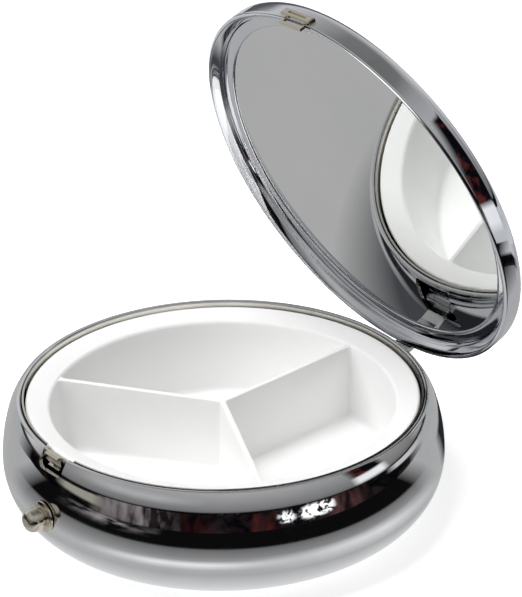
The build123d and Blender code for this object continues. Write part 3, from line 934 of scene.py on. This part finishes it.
def onlookers():
    """Low dark ring of card, with the muddle of the room drawn on it."""
    material, colour = glow_material("onlookers")
    position = add(material, "ShaderNodeNewGeometry").outputs["Position"]
    turn = turn_from_view(material, position)
    height = add(material, "ShaderNodeSeparateXYZ")
    link(material, position, height.inputs[0])
    height = math_node(material, "DIVIDE", height.outputs["Z"], WALL_H * MM)
    grain = noise(material, position, 70, 5.0, 0.65, 0.6)
    streak = noise(material, scaled(material, position, (1, 1, 0.25)), 130, 4.0, 0.6)
    base = blend(material, ramp(material, grain, 0.45, 0.75), (0.002, 0.002, 0.003), (0.03, 0.02, 0.022))
    for low, high, soft, tint, weight in RING_TINTS:
        mask = math_node(material, "MULTIPLY", window(material, turn, low, high, soft), weight)
        mask = math_node(material, "MULTIPLY", mask, ramp(material, streak, 0.42, 0.62))
        base = blend(material, mask, base, tint)
    beige = math_node(
        material, "MULTIPLY", window(material, turn, -0.435, -0.31, 0.02),
        window(material, height, 0.30, 0.74, 0.06),
    )
    base = blend(material, beige, base, (0.36, 0.34, 0.29))
    patch = noise(material, position, 210, 3.0, 0.55, 0.8)
    for low, high in RING_WINDOWS:
        mask = math_node(
            material, "MULTIPLY", window(material, turn, low, high, 0.02),
            window(material, height, 0.25, 0.85, 0.16),
        )
        mask = math_node(material, "MULTIPLY", mask, ramp(material, patch, 0.42, 0.52))
        base = blend(material, ramp(material, mask, 0.25, 0.6), base, (1.6, 1.6, 1.6))
    base = blend(material, ramp(material, height, 0.93, 0.97), base, (0.001, 0.001, 0.001))
    high_pale = math_node(
        material, "MULTIPLY", ramp(material, turn, 0.43, 0.47), ramp(material, height, 0.45, 0.60),
    )
    base = blend(material, high_pale, base, (0.62, 0.62, 0.62))
    base = blend(material, outside(material, turn, -0.60, 0.56, 0.04), base, (0.45, 0.46, 0.46))
    base = blend(material, outside(material, turn, -0.88, 0.86, 0.03), base, (0.02, 0.02, 0.025))
    link(material, base, colour)
    only_in_reflections(dress(strip_mesh("onlookers", WALL_R, 0.2, WALL_H), material))


def dark_panel():
    """Upright dark card with a pale foot, to the right of the box, that the lid's skirt reflects."""
    material = bpy.data.materials.new("dark_panel")
    material.use_nodes = True
    material.node_tree.nodes.clear()
    output = add(material, "ShaderNodeOutputMaterial")
    clear = add(material, "ShaderNodeBsdfTransparent")
    dark = add(material, "ShaderNodeEmission")
    mixer = add(material, "ShaderNodeMixShader")
    position = add(material, "ShaderNodeNewGeometry").outputs["Position"]
    turn = turn_from_view(material, position)
    parts = add(material, "ShaderNodeSeparateXYZ")
    link(material, position, parts.inputs[0])
    low, high = PANEL_Z
    height = ramp(material, parts.outputs["Z"], low * MM, high * MM)
    solid = math_node(
        material, "MULTIPLY", window(material, turn, PANEL_TURN[0], PANEL_TURN[1], 0.012),
        window(material, height, 0.03, 0.93, 0.03)
    )
    grain = noise(material, position, 60, 4.0, 0.6)
    spots = blend(material, ramp(material, grain, 0.54, 0.64), (0.003, 0.003, 0.005), (0.09, 0.02, 0.018))
    foot = ramp(material, parts.outputs["Z"], PANEL_FOOT_Z[0] * MM, PANEL_FOOT_Z[1] * MM, 1.0, 0.0)
    link(material, blend(material, foot, spots, (1.0, 1.0, 1.0)), dark.inputs["Color"])
    link(material, solid, mixer.inputs[0])
    link(material, clear.outputs[0], mixer.inputs[1])
    link(material, dark.outputs[0], mixer.inputs[2])
    link(material, mixer.outputs[0], output.inputs[0])
    panel = strip_mesh("dark_panel", PANEL_R, low, high)
    only_in_reflections(dress(panel, material))


def table_card():
    """Card at the height of the ring's top, outside it, that only the raised lid sees."""
    bm = bmesh.new()
    skin_between(bm, [ring_of(bm, radius, WALL_H, CARD_AROUND) for radius in TABLE_RINGS])
    material, colour = glow_material("table_card")
    position = add(material, "ShaderNodeNewGeometry").outputs["Position"]
    turn = turn_from_view(material, position)
    grain = noise(material, position, 12, 3.0, 0.5)
    base = blend(material, ramp(material, grain, 0.3, 0.7), (0.52, 0.53, 0.55), (0.68, 0.69, 0.70))
    base = blend(material, window(material, turn, -0.22, 0.34, 0.02), base, (0.004, 0.004, 0.006))
    base = blend(material, window(material, turn, -0.43, -0.25, 0.03), base, (1.6, 1.6, 1.6))
    link(material, base, colour)
    only_in_reflections(dress(make_object("table_card", bm), material))


def stage():
    """Pale floor under the box and the cards around it."""
    floor = bmesh.new()
    bmesh.ops.create_grid(floor, x_segments=1, y_segments=1, size=3.0)
    plane = make_object("stage_floor", floor)
    plane.visible_glossy = False
    dress(plane, flat_material("pale_floor", (0.92, 0.92, 0.92), 0.62))
    room_dome()
    floor_card()
    onlookers()
    table_card()
    dark_panel()


WORLD_COLOUR, WORLD_STRENGTH = (0.98, 0.99, 1.0, 1), 0.31
SOFTBOXES = [
    # name, place, width, watts
    ("overhead", (-60, -70, 415), 200, 1.22),
    ("key_left", (-210, -300, 330), 180, 0.62),
]
LAMP_AIM_Z = 10


def lights():
    """Even sky light and two soft lamps, none of them seen in the metal."""
    world = bpy.data.worlds.new("studio")
    world.use_nodes = True
    background = world.node_tree.nodes["Background"]
    background.inputs["Color"].default_value = WORLD_COLOUR
    background.inputs["Strength"].default_value = WORLD_STRENGTH
    bpy.context.scene.world = world
    for name, place, size, power in SOFTBOXES:
        data = bpy.data.lights.new(name, "AREA")
        data.shape = "DISK"
        data.size = size * MM
        data.energy = power
        lamp = bpy.data.objects.new(name, data)
        lamp.visible_glossy = False
        lamp.location = Vector(place) * MM
        aim = Vector((0, 0, LAMP_AIM_Z)) - Vector(place)
        lamp.rotation_euler = aim.to_track_quat("-Z", "Y").to_euler()
        bpy.context.scene.collection.objects.link(lamp)


def camera():
    """Long lens in front of the box and to its right, rolled a little."""
    flat = Vector((math.sin(VIEW_AZIMUTH), -math.cos(VIEW_AZIMUTH), 0))
    back = flat * math.cos(VIEW_ELEVATION) + Vector((0, 0, math.sin(VIEW_ELEVATION)))
    place = Vector((0, 0, RIM_Z)) + back * VIEW_DISTANCE
    right = Vector((0, 0, 1)).cross(back).normalized()
    up = back.cross(right)
    forward = (-back + VIEW_ASIDE * right + VIEW_ABOVE * up).normalized()
    right = forward.cross(up).normalized()
    up = right.cross(forward)
    level_right, level_up = right.copy(), up.copy()
    right = math.cos(VIEW_ROLL) * level_right + math.sin(VIEW_ROLL) * level_up
    up = -math.sin(VIEW_ROLL) * level_right + math.cos(VIEW_ROLL) * level_up
    matrix = Matrix((right, up, -forward)).transposed().to_4x4()
    matrix.translation = place * MM
    data = bpy.data.cameras.new("view")
    data.lens = LENS
    data.sensor_width = SENSOR_W
    data.clip_start = CLIP_NEAR
    data.clip_end = CLIP_FAR
    obj = bpy.data.objects.new("view", data)
    obj.matrix_world = matrix
    bpy.context.scene.collection.objects.link(obj)
    bpy.context.scene.camera = obj
    bpy.context.scene.view_settings.view_transform = "Standard"


camera()
base_shell()
pill_tray()
lid_pieces()
dress_cad_nodes()
stage()
lights()
